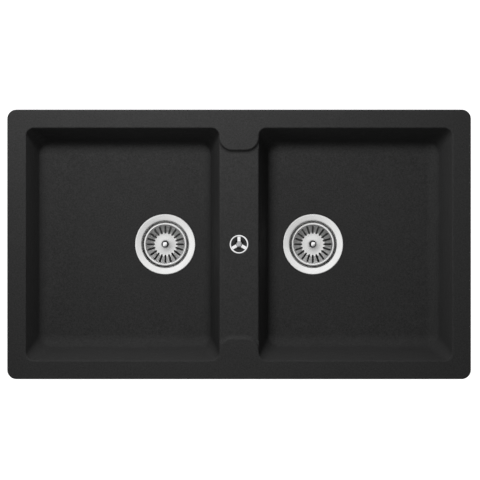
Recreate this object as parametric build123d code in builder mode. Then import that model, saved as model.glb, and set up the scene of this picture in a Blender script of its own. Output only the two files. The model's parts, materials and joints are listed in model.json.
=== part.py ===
from build123d import *

# Double bowl inset kitchen sink in granite composite, with its wastes, overflow and drain pipes.
# Millimetres. X runs along the sink, Y from its front edge to its back edge, and Z up. The origin
# is the middle of the sink on the underside of its rim, which is the top of the worktop.

import math
import os

# Basin, seen from above
sink_length = 860.0
sink_width = 500.0
rim_corner_r = 17.0
border = 35.0
divider_width = 74.0
bowl_corner_r = 14.0
floor_corner_r = 26.0

# Basin, heights and walls
rim_height = 9.0
rim_edge_round = 2.0
lip_round = 3.0
bowl_depth = 200.0
straight_depth = 15.0
wall_inset_x = 18.0
wall_inset_y = 22.0
wall = 8.0
floor_thickness = 10.0
floor_round = 24.0
floor_fall = 2.0
low_reach = 68.0

# Divider: its middle is recessed between two ledges at rim level
divider_drop = 8.0
deck_thickness = 9.0
ledge_reach = 41.0
ledge_tip_r = 25.0
deck_end_from_ledge = 8.0

# Tap holes, left blind for the fitter to knock out
tap_hole_r = 17.5
tap_hole_from_edge = 42.0
tap_hole_skin = 3.0
tap_seat_r = 25.0

# Foam strip in a groove under the rim
seal_width = 8.0
seal_depth = 2.0
seal_from_edge = 3.0

# Fixing clips
clip_spread = 95.0
clip_axis_from_wall = 7.5
boss_r = 8.0
boss_depth = 14.0
plug_r = 4.0
plug_length = 12.0
plug_head_r = 6.0
plug_head = 1.2
clip_screw_r = 2.5
clip_screw_head_r = 5.0
clip_screw_head = 3.5
claw_sheet = 2.0
claw_width = 14.0
claw_reach = 21.0
claw_tail = 8.0
claw_tooth = 2.5
claw_hook = 10.0
worktop_limit = 43.0

# Strainer waste, one in each bowl
waste_from_divider = 103.0
waste_hole_gap = 1.0
recess_gap = 1.5
recess_depth = 3.0
flange_gasket_thickness = 1.5
flange_width = 13.5
flange_sheet = 1.2
flange_bend = 2.7
cup_r = 44.0
cup_depth = 38.0
cup_corner = 5.0
cup_slots = 8
cup_slot_width = 7.0
cup_slot_start = 12.0
cup_slot_end = 30.0

# Basket that lifts out of the cup
basket_gap = 1.3
basket_ring = 4.0
basket_drop = 5.0
basket_depth = 18.0
basket_floor_r = 22.0
basket_sheet = 0.9
basket_bend = 1.2
basket_lip = 3.0
basket_slots = 20
basket_slot_width = 3.6
basket_slot_start = 21.3
basket_slot_end = 35.0
knob_r = 7.4
knob_rise = 11.0
knob_neck_r = 4.0
stem_r = 3.0
plug_plate_r = 20.0
plug_plate = 5.5
plug_seal_gap = 1.8
plug_seal_band = 3.0
catch_r = 8.6
catch_wall = 1.8
catch_plate = 2.0
catch_fingers = 4
catch_gap = 2.0

# Plastic waste body under each bowl
lower_gasket_thickness = 3.0
gasket_inset = 1.0
body_flange = 4.0
body_flange_width = 7.0
body_gap = 2.5
body_wall = 3.5
body_ribs = 12
body_rib_depth = 12.0
body_rib_width = 2.5
sump_depth = 15.0
cone_height = 15.0
spider_arms = 3
spider_arm_width = 5.0
spider_depth = 9.0
spider_boss_r = 9.0
spider_boss_depth = 17.0
clamp_screw_r = 3.0
clamp_head_r = 6.0
clamp_head = 3.6
clamp_nut_flats = 10.0
clamp_nut = 5.0

# Drain pipes and their union nuts
drain_pipe_r = 20.0
drain_pipe_wall = 2.0
drain_thread_r = 23.9
drain_socket = 24.0
drain_inserted = 16.0
drain_bend_r = 32.0
drain_below_nut = 5.0
tee_half_length = 45.0
tee_branch_r = 25.0
tee_branch_wall = 2.5
tee_branch_length = 50.0
tee_body_r = 27.0
tee_shoulder = 1.5
nut_wall = 4.5
nut_grip = 16.0
nut_lip = 3.0
nut_ribs = 16
nut_rib_r = 2.0
washer_thickness = 4.0

# Overflow in the middle of the divider
grate_r = 17.7
grate_ring = 3.1
grate_thickness = 2.5
grate_spokes = 3
grate_spoke_width = 6.8
grate_hub_r = 6.4
grate_edge_round = 0.8
grate_skirt = 5.0
grate_skirt_wall = 0.9
overflow_hole_r = 15.0
overflow_seal_thickness = 2.0
overflow_flange_r = 22.0
overflow_flange = 3.0
overflow_throat_r = 13.5
overflow_throat_depth = 20.0
overflow_boss_r = 5.5
overflow_boss_depth = 14.0
overflow_arm_width = 3.0
overflow_screw_r = 2.0
overflow_screw_head_r = 5.6
overflow_screw_head = 1.8
overflow_nut_flats = 7.0
overflow_nut = 3.2
overflow_pipe_r = 11.0
overflow_pipe_wall = 1.5
overflow_thread_r = 15.0
overflow_socket = 20.0
overflow_inserted = 14.0
overflow_bend_r = 30.0
inlet_drop = 26.0
inlet_reach = 82.0

# Clearances
press_gap = 0.1
thread_gap = 0.15
slip_gap = 0.3
running_gap = 0.3
hinge_gap = 0.1

# Places that follow from the sizes above
bowl_length = (sink_length - 2 * border - divider_width) / 2
bowl_width = sink_width - 2 * border
bowl_x = (divider_width + bowl_length) / 2
rim_top = rim_height
deck_top = rim_top - divider_drop
deck_underside = deck_top - deck_thickness
draft_top = rim_top - straight_depth
drain_floor = rim_top - bowl_depth
floor_edge = drain_floor + floor_fall
drain_underside = drain_floor - floor_thickness
ledge_tip_y = bowl_width / 2 - ledge_reach
tap_y = sink_width / 2 - tap_hole_from_edge
waste_x = divider_width / 2 + waste_from_divider

gasket_top = drain_floor - recess_depth + flange_gasket_thickness
flange_top = gasket_top + flange_sheet
waste_hole_r = cup_r + waste_hole_gap
flange_r = cup_r + flange_width
recess_r = flange_r + recess_gap
cup_inner_r = cup_r - flange_sheet
basket_r = cup_inner_r - basket_gap
plug_seal_r = cup_inner_r - cup_corner - plug_seal_gap
cup_floor = flange_top - cup_depth
cup_base = cup_floor - flange_sheet
basket_top = flange_top - basket_drop
basket_floor = basket_top - basket_depth
basket_base = basket_floor - basket_sheet
plug_plate_base = basket_base - plug_plate
body_top = drain_underside - lower_gasket_thickness
body_r = cup_r + body_gap + body_wall
body_flange_r = body_r + body_flange_width
cone_top = cup_base - sump_depth
cone_base = cone_top - cone_height
socket_mouth = cone_base - drain_socket
spider_base = cup_base - spider_boss_depth
inlet_z = body_top - inlet_drop
bend_top = socket_mouth - washer_thickness - nut_lip - drain_below_nut
drain_run_z = bend_top - drain_bend_r
tee_shoulder_z = drain_run_z - tee_body_r

overflow_top = deck_underside - overflow_seal_thickness
overflow_throat_base = overflow_top - overflow_throat_depth
overflow_mouth = overflow_throat_base - overflow_socket
overflow_boss_base = overflow_top - overflow_flange - overflow_boss_depth

clip_y = bowl_width / 2 + wall + clip_axis_from_wall
clip_x = sink_length / 2 - border + wall + clip_axis_from_wall
claw_base = -worktop_limit - claw_hook
side_names = {-1: "left", 1: "right"}


def save(piece, name):
    piece.label = name
    export_step(piece, f"parts/{name}.step")


def upright(x=0.0, z=0.0):
    # Sketch plane through a vertical axis at x: its x is the radius and its y the height above z.
    return Plane(origin=(x, 0, z), x_dir=(1, 0, 0), z_dir=(0, -1, 0))


def vertical(x=0.0):
    return Axis((x, 0, 0), (0, 0, 1))


def level(x, z):
    return Plane(origin=(x, 0, z))


def bowl_body(side, grow, drop, top):
    # The hollow of one bowl, or its outside when grown by the wall and dropped by the floor.
    slope_x = wall_inset_x / (draft_top - floor_edge)
    slope_y = wall_inset_y / (draft_top - floor_edge)
    edge_z = floor_edge - drop
    length = bowl_length + 2 * grow
    width = bowl_width + 2 * grow
    low_length = length - 2 * slope_x * (draft_top - edge_z)
    low_width = width - 2 * slope_y * (draft_top - edge_z)
    low = 2 * low_reach
    with BuildPart() as bowl:
        with BuildSketch(Plane.XY.offset(draft_top)) as mouth:
            with Locations((side * bowl_x, 0)):
                RectangleRounded(length, width, bowl_corner_r + grow)
        with BuildSketch(Plane.XY.offset(edge_z)) as foot:
            with Locations((side * bowl_x, 0)):
                RectangleRounded(low_length, low_width, floor_corner_r + grow)
        with BuildSketch(level(side * waste_x, edge_z - floor_fall)) as low_point:
            RectangleRounded(low, low, 0.45 * low)
        extrude(mouth.sketch, amount=top - draft_top)
        loft([mouth.sketch, foot.sketch], ruled=True)
        loft([foot.sketch, low_point.sketch], ruled=True)
        floor_edges = bowl.edges().filter_by_position(Axis.Z, edge_z, edge_z)
        fillet(floor_edges, floor_round + grow)
    return bowl.part


def basin_below_rim():
    # Plate at the height of the recess, with both bowls and the rounded lips beside the divider.
    deck_end = ledge_tip_y + deck_end_from_ledge
    with BuildPart() as lower:
        with BuildSketch():
            RectangleRounded(sink_length, sink_width, rim_corner_r)
        extrude(amount=deck_top)
        with BuildSketch(Plane.XY.offset(deck_underside)):
            Rectangle(divider_width, 2 * deck_end)
        extrude(amount=-deck_underside)
        for side in side_names:
            add(bowl_body(side, wall, floor_thickness, 0))
        for side in side_names:
            add(bowl_body(side, 0, 0, rim_top), mode=Mode.SUBTRACT)
        lips = lower.edges().filter_by_position(Axis.Z, deck_top, deck_top)
        inside = lips.filter_by_position(Axis.X, -clip_x, clip_x)
        fillet(inside.filter_by_position(Axis.Y, -clip_y, clip_y), lip_round)
    return lower.part


def rim_plate():
    # Rim and the two ledges, with square lips. Its inner band backs the walls under the rim.
    band = 2 * (wall - rim_edge_round)
    with BuildPart() as upper:
        with BuildSketch():
            RectangleRounded(sink_length, sink_width, rim_corner_r)
        extrude(amount=rim_top)
        with BuildSketch():
            Rectangle(sink_length - 2 * border + band, bowl_width + band)
        extrude(amount=-lip_round)
        with BuildSketch(Plane.XY.offset(-lip_round)):
            with Locations((-bowl_x, 0), (bowl_x, 0)):
                RectangleRounded(bowl_length, bowl_width, bowl_corner_r)
            Rectangle(divider_width, 2 * (ledge_tip_y + ledge_tip_r))
            with Locations((0, ledge_tip_y + border), (0, -ledge_tip_y - border)):
                RectangleRounded(divider_width, 2 * border, ledge_tip_r, mode=Mode.SUBTRACT)
        extrude(amount=rim_top + lip_round, mode=Mode.SUBTRACT)
    return upper.part


def clip_spots():
    # Each clip's name, the place of its screw and the way, in degrees, that its claw is parked.
    xs = [side * bowl_x + way * clip_spread for side in side_names for way in (-1, 1)]
    spots = [(f"clip_back_{i + 1}", x, clip_y, 0) for i, x in enumerate(xs)]
    spots += [(f"clip_front_{i + 1}", x, -clip_y, 180) for i, x in enumerate(xs)]
    spots += [("clip_left", -clip_x, 0, 90), ("clip_right", clip_x, 0, -90)]
    return spots


def clip_plane(spot, z):
    # Level plane at a clip's screw whose x points along the parked claw.
    name, x, y, parked = spot
    along = Vector(1, 0, 0).rotate(Axis.Z, parked)
    return Plane(origin=(x, y, z), x_dir=along, z_dir=(0, 0, 1))


def sink_basin():
    with BuildPart() as basin:
        add(basin_below_rim())
        add(rim_plate())
        lips = basin.edges().filter_by_position(Axis.Z, rim_top, rim_top)
        inner = lips.filter_by_position(Axis.X, -clip_x, clip_x).filter_by_position(Axis.Y, -clip_y, clip_y)
        fillet(inner, lip_round)
        fillet(lips - inner, rim_edge_round)
        for spot in clip_spots():
            with BuildSketch(clip_plane(spot, -boss_depth)):
                Circle(boss_r)
                with Locations((0, -clip_axis_from_wall / 2)):
                    Rectangle(2 * boss_r, clip_axis_from_wall + wall / 2)
        extrude(amount=boss_depth)
        for spot in clip_spots():
            with BuildSketch(clip_plane(spot, -boss_depth)):
                Circle(plug_r + press_gap)
        extrude(amount=plug_length + press_gap, mode=Mode.SUBTRACT)
        for side in side_names:
            with Locations((side * waste_x, 0, drain_floor)):
                CounterBoreHole(waste_hole_r, recess_r, recess_depth, depth=2 * floor_thickness)
        with Locations((0, 0, deck_top)):
            Hole(overflow_hole_r, depth=deck_thickness)
        with BuildSketch():
            with Locations((0, tap_y), (0, -tap_y)):
                Circle(tap_hole_r)
        extrude(amount=rim_top - tap_hole_skin, mode=Mode.SUBTRACT)
        with BuildSketch(Plane.XY.offset(-lip_round)):
            with Locations((0, tap_y), (0, -tap_y)):
                Circle(tap_seat_r)
        extrude(amount=lip_round, mode=Mode.SUBTRACT)
        with BuildSketch():
            seal_outline(0)
        extrude(amount=seal_depth, mode=Mode.SUBTRACT)
    return basin.part


def seal_outline(gap):
    # Ring under the rim, drawn into the sketch in hand, narrower by the gap on both edges.
    inset = seal_from_edge + gap
    inner = seal_from_edge + seal_width - gap
    RectangleRounded(sink_length - 2 * inset, sink_width - 2 * inset, rim_corner_r - inset)
    RectangleRounded(
        sink_length - 2 * inner, sink_width - 2 * inner, rim_corner_r - inner, mode=Mode.SUBTRACT
    )


def rim_seal():
    with BuildPart() as seal:
        with BuildSketch():
            seal_outline(press_gap)
        extrude(amount=seal_depth)
    return seal.part


def clip_plugs():
    # Plastic plug pressed into each boss, with a head against the boss.
    with BuildPart() as plugs:
        for spot in clip_spots():
            with BuildSketch(clip_plane(spot, -boss_depth - plug_head)):
                Circle(plug_head_r)
        extrude(amount=plug_head)
        for spot in clip_spots():
            with BuildSketch(clip_plane(spot, -boss_depth)):
                Circle(plug_r)
        extrude(amount=plug_length)
        for spot in clip_spots():
            with BuildSketch(clip_plane(spot, -boss_depth - plug_head)):
                Circle(clip_screw_r + press_gap)
        extrude(amount=plug_length + plug_head, mode=Mode.SUBTRACT)
    return plugs.part


def clip_screws():
    # Long screws that carry the claws on their heads.
    head_top = claw_base - running_gap
    with BuildPart() as screws:
        for spot in clip_spots():
            with BuildSketch(clip_plane(spot, head_top)):
                Circle(clip_screw_r)
        extrude(amount=plug_length - boss_depth - head_top)
        for spot in clip_spots():
            with BuildSketch(clip_plane(spot, head_top)):
                Circle(clip_screw_head_r)
        extrude(amount=-clip_screw_head)
        for spot in clip_spots():
            with BuildSketch(clip_plane(spot, head_top - clip_screw_head)):
                SlotOverall(1.4 * clip_screw_head_r, 0.3 * clip_screw_head_r)
                SlotOverall(1.4 * clip_screw_head_r, 0.3 * clip_screw_head_r, rotation=90)
        extrude(amount=clip_screw_head / 2, mode=Mode.SUBTRACT)
    return screws.part


def clip_claw(spot):
    # Bent steel claw: a plate on the screw, a toothed hook for the worktop and a short tail.
    plate = clip_plane(spot, claw_base)
    with BuildPart() as claw:
        with BuildSketch(plate):
            with Locations(((claw_reach - claw_tail) / 2, 0)):
                RectangleRounded(claw_reach + claw_tail, claw_width, claw_sheet / 2)
            Circle(clip_screw_r + hinge_gap, mode=Mode.SUBTRACT)
        extrude(amount=claw_sheet)
        with BuildSketch(plate):
            with Locations((claw_reach - claw_sheet / 2, 0)):
                Rectangle(claw_sheet, claw_width - claw_sheet)
        extrude(amount=claw_hook)
        with BuildSketch(plate):
            with Locations((claw_sheet / 2 - claw_tail, 0)):
                Rectangle(claw_sheet, claw_width - claw_sheet)
        extrude(amount=claw_hook / 2)
        with BuildSketch(plate.offset(claw_hook)):
            with Locations((claw_reach - claw_sheet / 2, 0)):
                with GridLocations(0, claw_width / 3, 1, 3):
                    RegularPolygon(claw_tooth / 2, 4, mode=Mode.ADD)
        extrude(amount=-claw_tooth, mode=Mode.SUBTRACT)
    return claw.part


def near(sketch, *points):
    # Corners of a sketch that lie at the given points, for rounding.
    return [sketch.vertices().sort_by_distance((x, y, 0))[0] for x, y in points]


def strainer_flange(side):
    # Pressed steel flange and cup, with water slots round the clamp screw.
    x = side * waste_x
    hole = clamp_screw_r + slip_gap
    depth = cup_depth + flange_sheet
    slot_length = cup_slot_end - cup_slot_start
    with BuildPart() as flange:
        with BuildSketch(upright(x, flange_top)) as section:
            with BuildLine():
                Polyline(
                    (hole, -cup_depth),
                    (cup_inner_r, -cup_depth),
                    (cup_inner_r, 0),
                    (flange_r, 0),
                    (flange_r, -flange_sheet),
                    (cup_r, -flange_sheet),
                    (cup_r, -depth),
                    (hole, -depth),
                    close=True,
                )
            make_face()
            fillet(near(section, (cup_inner_r, 0)), flange_bend)
            fillet(near(section, (cup_r, -flange_sheet)), flange_bend - flange_sheet)
            fillet(near(section, (cup_inner_r, -cup_depth)), cup_corner)
            fillet(near(section, (cup_r, -depth)), cup_corner + flange_sheet)
        revolve(axis=vertical(x))
        with BuildSketch(level(x, cup_base)):
            with PolarLocations((cup_slot_start + cup_slot_end) / 2, cup_slots):
                SlotOverall(slot_length, cup_slot_width)
        extrude(amount=flange_sheet, mode=Mode.SUBTRACT)
    return flange.part


def flange_gasket(side):
    with BuildPart() as gasket:
        with BuildSketch(level(side * waste_x, drain_floor - recess_depth)):
            Circle(flange_r)
            Circle(cup_r + flange_bend - flange_sheet + running_gap, mode=Mode.SUBTRACT)
        extrude(amount=flange_gasket_thickness)
    return gasket.part


def lower_gasket(side):
    with BuildPart() as gasket:
        with BuildSketch(level(side * waste_x, body_top)):
            Circle(body_flange_r - gasket_inset)
            Circle(waste_hole_r + running_gap, mode=Mode.SUBTRACT)
        extrude(amount=lower_gasket_thickness)
    return gasket.part


def waste_body(side):
    # Moulded body: flange, sump round the cup, arms for the clamp nut and a threaded outlet. The
    # left one also takes the overflow pipe.
    x = side * waste_x
    inner_r = body_r - body_wall
    bore_r = drain_pipe_r + slip_gap
    with BuildPart() as body:
        with BuildSketch(upright(x)) as section:
            with BuildLine():
                Polyline(
                    (0, body_top),
                    (body_flange_r, body_top),
                    (body_flange_r, body_top - body_flange),
                    (body_r, body_top - body_flange),
                    (body_r, cone_top),
                    (drain_thread_r, cone_base),
                    (drain_thread_r, socket_mouth),
                    (0, socket_mouth),
                    close=True,
                )
            make_face()
            fillet(near(section, (body_r, cone_top), (drain_thread_r, cone_base)), body_wall)
        revolve(axis=vertical(x))
        with BuildSketch(level(x, body_top - body_flange - body_rib_depth)):
            with PolarLocations(body_r + (body_flange_width - body_wall) / 2, body_ribs, start_angle=15):
                Rectangle(body_flange_width, body_rib_width)
        extrude(amount=body_rib_depth)
        if side == -1:
            with BuildSketch(inlet_mouth()):
                Circle(overflow_thread_r)
            extrude(amount=inner_r + body_wall / 2 - inlet_reach)
        with BuildSketch(upright(x)) as hollow:
            with BuildLine():
                Polyline(
                    (0, body_top),
                    (inner_r, body_top),
                    (inner_r, cone_top),
                    (bore_r - drain_pipe_wall, cone_base),
                    (bore_r - drain_pipe_wall, socket_mouth + drain_inserted + running_gap),
                    (bore_r, socket_mouth + drain_inserted + running_gap),
                    (bore_r, socket_mouth),
                    (0, socket_mouth),
                    close=True,
                )
            make_face()
            fillet(near(hollow, (inner_r, cone_top)), body_wall)
        revolve(axis=vertical(x), mode=Mode.SUBTRACT)
        if side == -1:
            with BuildSketch(inlet_mouth()):
                Circle(overflow_pipe_r + slip_gap)
            extrude(amount=-overflow_inserted - running_gap, mode=Mode.SUBTRACT)
            with BuildSketch(inlet_mouth()):
                Circle(overflow_pipe_r - overflow_pipe_wall)
            extrude(amount=inner_r - body_wall - inlet_reach, mode=Mode.SUBTRACT)
        with BuildSketch(level(x, cup_base)):
            with PolarLocations(inner_r / 2, spider_arms, start_angle=90):
                Rectangle(inner_r + body_wall, spider_arm_width)
        extrude(amount=-spider_depth)
        with BuildSketch(level(x, cup_base)):
            Circle(spider_boss_r)
        extrude(amount=-spider_boss_depth)
        with BuildSketch(level(x, cup_base)):
            Circle(clamp_screw_r + thread_gap)
        extrude(amount=-spider_boss_depth, mode=Mode.SUBTRACT)
        with BuildSketch(level(x, spider_base)):
            RegularPolygon(clamp_nut_flats / 2 + press_gap, 6, major_radius=False)
        extrude(amount=clamp_nut + press_gap, mode=Mode.SUBTRACT)
    return body.part


def inlet_mouth():
    # Mouth of the left body's overflow inlet, facing the middle of the sink.
    return Plane(origin=(inlet_reach - waste_x, 0, inlet_z), x_dir=(0, 1, 0), z_dir=(1, 0, 0))


def screw_nut(side):
    # Brass nut held in the foot of the arms' boss.
    with BuildPart() as nut:
        with BuildSketch(level(side * waste_x, spider_base)):
            RegularPolygon(clamp_nut_flats / 2, 6, major_radius=False)
            Circle(clamp_screw_r + thread_gap, mode=Mode.SUBTRACT)
        extrude(amount=clamp_nut)
    return nut.part


def clamp_screw(side):
    # Long screw that pulls the cup and the body together round the basin's floor.
    x = side * waste_x
    with BuildPart() as screw:
        with BuildSketch(level(x, cup_floor)):
            Circle(clamp_screw_r)
        extrude(amount=-flange_sheet - spider_boss_depth)
        with BuildSketch(level(x, cup_floor)):
            Circle(clamp_head_r)
        extrude(amount=clamp_head)
        fillet(screw.edges().group_by(Axis.Z)[-1], clamp_head / 3)
        with BuildSketch(level(x, cup_floor + clamp_head)):
            Rectangle(1.3 * clamp_head_r, 0.3 * clamp_head_r)
        extrude(amount=-clamp_head / 2, mode=Mode.SUBTRACT)
    return screw.part


def basket(side):
    # Pressed basket: flat ring with a turned lip, a slotted sloping wall and a flat floor.
    x = side * waste_x
    ring_inner_r = basket_r - basket_ring
    hole = stem_r + press_gap
    slope = math.atan2(basket_depth, ring_inner_r - basket_floor_r)
    shift = basket_sheet * math.tan(slope / 2)
    under_r = ring_inner_r + shift
    base = (basket_floor_r + shift, -basket_depth - basket_sheet)
    slot_length = basket_slot_end - basket_slot_start
    with BuildPart() as bowl:
        with BuildSketch(upright(x, basket_top)) as section:
            with BuildLine():
                Polyline(
                    (hole, -basket_depth),
                    (basket_floor_r, -basket_depth),
                    (ring_inner_r, 0),
                    (basket_r, 0),
                    (basket_r, -basket_lip),
                    (basket_r - basket_sheet, -basket_lip),
                    (basket_r - basket_sheet, -basket_sheet),
                    (under_r, -basket_sheet),
                    base,
                    (hole, base[1]),
                    close=True,
                )
            make_face()
            fillet(near(section, (ring_inner_r, 0), base), basket_bend + basket_sheet)
            fillet(near(section, (basket_floor_r, -basket_depth), (under_r, -basket_sheet)), basket_bend)
        revolve(axis=vertical(x))
        with BuildSketch(level(x, basket_base)):
            with PolarLocations((basket_slot_start + basket_slot_end) / 2, basket_slots):
                SlotOverall(slot_length, basket_slot_width)
        extrude(amount=basket_depth + basket_sheet - basket_lip, mode=Mode.SUBTRACT)
    return bowl.part


def basket_knob(side):
    # Ball knob on a neck, with a stem through the basket into the catch.
    x = side * waste_x
    stem_end = plug_plate_base - catch_plate
    with BuildPart() as knob:
        with BuildSketch(level(x, stem_end)):
            Circle(stem_r)
        extrude(amount=basket_floor - stem_end)
        with BuildSketch(level(x, basket_floor)):
            Circle(knob_neck_r)
        extrude(amount=knob_rise)
        with Locations((x, 0, basket_floor + knob_rise)):
            Sphere(knob_r)
    return knob.part


def basket_plug(side):
    # Rubber plug with a flared skirt that closes the cup's slots.
    x = side * waste_x
    foot = cup_floor + running_gap - basket_base
    skirt = plug_seal_band
    hole = stem_r + press_gap
    with BuildPart() as plug:
        with BuildSketch(upright(x, basket_base)):
            with BuildLine():
                Polyline(
                    (hole, 0),
                    (plug_plate_r, 0),
                    (plug_seal_r, foot + skirt),
                    (plug_seal_r, foot),
                    (plug_seal_r - skirt, foot),
                    (plug_plate_r, -plug_plate),
                    (hole, -plug_plate),
                    close=True,
                )
            make_face()
        revolve(axis=vertical(x))
    return plug.part


def basket_catch(side):
    # Plastic catch on the stem whose fingers stand round the head of the clamp screw.
    x = side * waste_x
    foot = cup_floor + running_gap
    with BuildPart() as catch:
        with BuildSketch(level(x, foot)):
            Circle(catch_r)
        extrude(amount=plug_plate_base - foot)
        with BuildSketch(level(x, foot)):
            Circle(catch_r - catch_wall)
        extrude(amount=plug_plate_base - catch_plate - foot, mode=Mode.SUBTRACT)
        with BuildSketch(level(x, foot)):
            with PolarLocations(catch_r, catch_fingers):
                Rectangle(3 * catch_wall, catch_gap)
        extrude(amount=plug_plate_base - catch_plate - foot, mode=Mode.SUBTRACT)
        with BuildSketch(level(x, foot)):
            Circle(stem_r + press_gap)
        extrude(amount=plug_plate_base - foot, mode=Mode.SUBTRACT)
    return catch.part


def union_nut(mouth, thread_r, pipe_r):
    # Nut on a threaded socket. The plane stands on the socket's mouth and faces out of it.
    outer_r = thread_r + nut_wall
    height = nut_grip + washer_thickness + nut_lip
    with BuildPart() as nut:
        with BuildSketch(mouth.offset(-nut_grip)):
            Circle(outer_r)
            with PolarLocations(outer_r - nut_rib_r / 2, nut_ribs):
                Circle(nut_rib_r)
        extrude(amount=height)
        with BuildSketch(mouth.offset(-nut_grip)):
            Circle(thread_r + thread_gap)
        extrude(amount=nut_grip + washer_thickness, mode=Mode.SUBTRACT)
        with BuildSketch(mouth):
            Circle(pipe_r + slip_gap)
        extrude(amount=washer_thickness + nut_lip, mode=Mode.SUBTRACT)
    return nut.part


def pipe_washer(mouth, thread_r, pipe_r):
    # Rubber washer between a socket's mouth and the nut's lip, tight on the pipe.
    with BuildPart() as washer:
        with BuildSketch(mouth):
            Circle(thread_r - press_gap)
            Circle(pipe_r + press_gap, mode=Mode.SUBTRACT)
        extrude(amount=washer_thickness)
    return washer.part


def outlet_mouth(side):
    return Plane(origin=(side * waste_x, 0, socket_mouth), x_dir=(1, 0, 0), z_dir=(0, 0, -1))


def tee_mouth(side):
    place = (side * tee_half_length, 0, drain_run_z)
    return Plane(origin=place, x_dir=(0, 1, 0), z_dir=(side, 0, 0))


def outlet_elbow(side):
    # Bent pipe from the waste down and across into the tee.
    x = side * waste_x
    top = (x, 0, socket_mouth + drain_inserted)
    with BuildPart() as elbow:
        with BuildLine():
            drop = Line(top, (x, 0, bend_top))
            turn = TangentArc(
                drop @ 1, (x - side * drain_bend_r, 0, drain_run_z), tangent=drop % 1
            )
            Line(turn @ 1, (side * (tee_half_length - drain_inserted), 0, drain_run_z))
        with BuildSketch(Plane(origin=top, x_dir=(1, 0, 0), z_dir=(0, 0, -1))):
            Circle(drain_pipe_r)
            Circle(drain_pipe_r - drain_pipe_wall, mode=Mode.SUBTRACT)
        sweep()
    return elbow.part


def tee_piece():
    # Both bowls' pipes meet here, over the plain spigot that a trap is pushed onto. A shoulder on
    # the tee's body stops the trap's socket.
    stop = tee_half_length - drain_inserted - running_gap
    branch_end = tee_shoulder_z - tee_branch_length
    with BuildPart() as tee:
        with BuildSketch(tee_mouth(1)):
            Circle(drain_thread_r)
        extrude(amount=-2 * tee_half_length)
        with BuildSketch(tee_mouth(1).offset(tee_body_r - tee_half_length)):
            Circle(tee_body_r)
        extrude(amount=-2 * tee_body_r)
        with BuildSketch(level(0, tee_shoulder_z)):
            Circle(tee_branch_r + tee_shoulder)
        extrude(amount=tee_body_r)
        with BuildSketch(level(0, branch_end)):
            Circle(tee_branch_r)
        extrude(amount=tee_branch_length)
        with BuildSketch(tee_mouth(1)):
            Circle(drain_pipe_r - drain_pipe_wall)
        extrude(amount=-2 * tee_half_length, mode=Mode.SUBTRACT)
        for side in side_names:
            with BuildSketch(tee_mouth(side)):
                Circle(drain_pipe_r + slip_gap)
        extrude(amount=stop - tee_half_length, mode=Mode.SUBTRACT)
        with BuildSketch(level(0, branch_end)):
            Circle(tee_branch_r - tee_branch_wall)
        extrude(amount=drain_run_z - branch_end, mode=Mode.SUBTRACT)
    return tee.part


def tee_nuts():
    with BuildPart() as nuts:
        for side in side_names:
            add(union_nut(tee_mouth(side), drain_thread_r, drain_pipe_r))
    return nuts.part


def tee_washers():
    with BuildPart() as washers:
        for side in side_names:
            add(pipe_washer(tee_mouth(side), drain_thread_r, drain_pipe_r))
    return washers.part


def overflow_grate():
    # Three-spoke rosette over the overflow, with a skirt inside the hole.
    ring_r = grate_r - grate_ring
    skirt_r = overflow_hole_r - slip_gap
    with BuildPart() as grate:
        with BuildSketch(Plane.XY.offset(deck_top)):
            Circle(grate_r)
            Circle(ring_r, mode=Mode.SUBTRACT)
            Circle(grate_hub_r)
            with PolarLocations(ring_r / 2, grate_spokes, start_angle=90):
                Rectangle(ring_r + grate_ring / 2, grate_spoke_width)
        extrude(amount=grate_thickness)
        fillet(grate.edges().group_by(Axis.Z)[-1], grate_edge_round)
        with BuildSketch(Plane.XY.offset(deck_top)):
            Circle(skirt_r)
            Circle(skirt_r - grate_skirt_wall, mode=Mode.SUBTRACT)
        extrude(amount=-grate_skirt)
        with BuildSketch(Plane.XY.offset(deck_top)):
            Circle(overflow_screw_r + slip_gap)
        extrude(amount=grate_thickness, mode=Mode.SUBTRACT)
    return grate.part


def overflow_screw():
    seat = deck_top + grate_thickness
    with BuildPart() as screw:
        with BuildSketch(Plane.XY.offset(seat)):
            Circle(overflow_screw_head_r)
        extrude(amount=overflow_screw_head)
        fillet(screw.edges().group_by(Axis.Z)[-1], overflow_screw_head / 3)
        with BuildSketch(Plane.XY.offset(seat)):
            Circle(overflow_screw_r)
        extrude(amount=overflow_boss_base - seat)
        with BuildSketch(Plane.XY.offset(seat + overflow_screw_head)):
            for turn in (45, 135):
                SlotOverall(1.5 * overflow_screw_head_r, 0.25 * overflow_screw_head_r, rotation=turn)
        extrude(amount=-overflow_screw_head / 2, mode=Mode.SUBTRACT)
    return screw.part


def overflow_seal():
    with BuildPart() as seal:
        with BuildSketch(Plane.XY.offset(overflow_top)):
            Circle(overflow_flange_r - gasket_inset)
            Circle(overflow_hole_r, mode=Mode.SUBTRACT)
        extrude(amount=overflow_seal_thickness)
    return seal.part


def overflow_mouth_plane():
    return Plane(origin=(0, 0, overflow_mouth), x_dir=(1, 0, 0), z_dir=(0, 0, -1))


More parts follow.
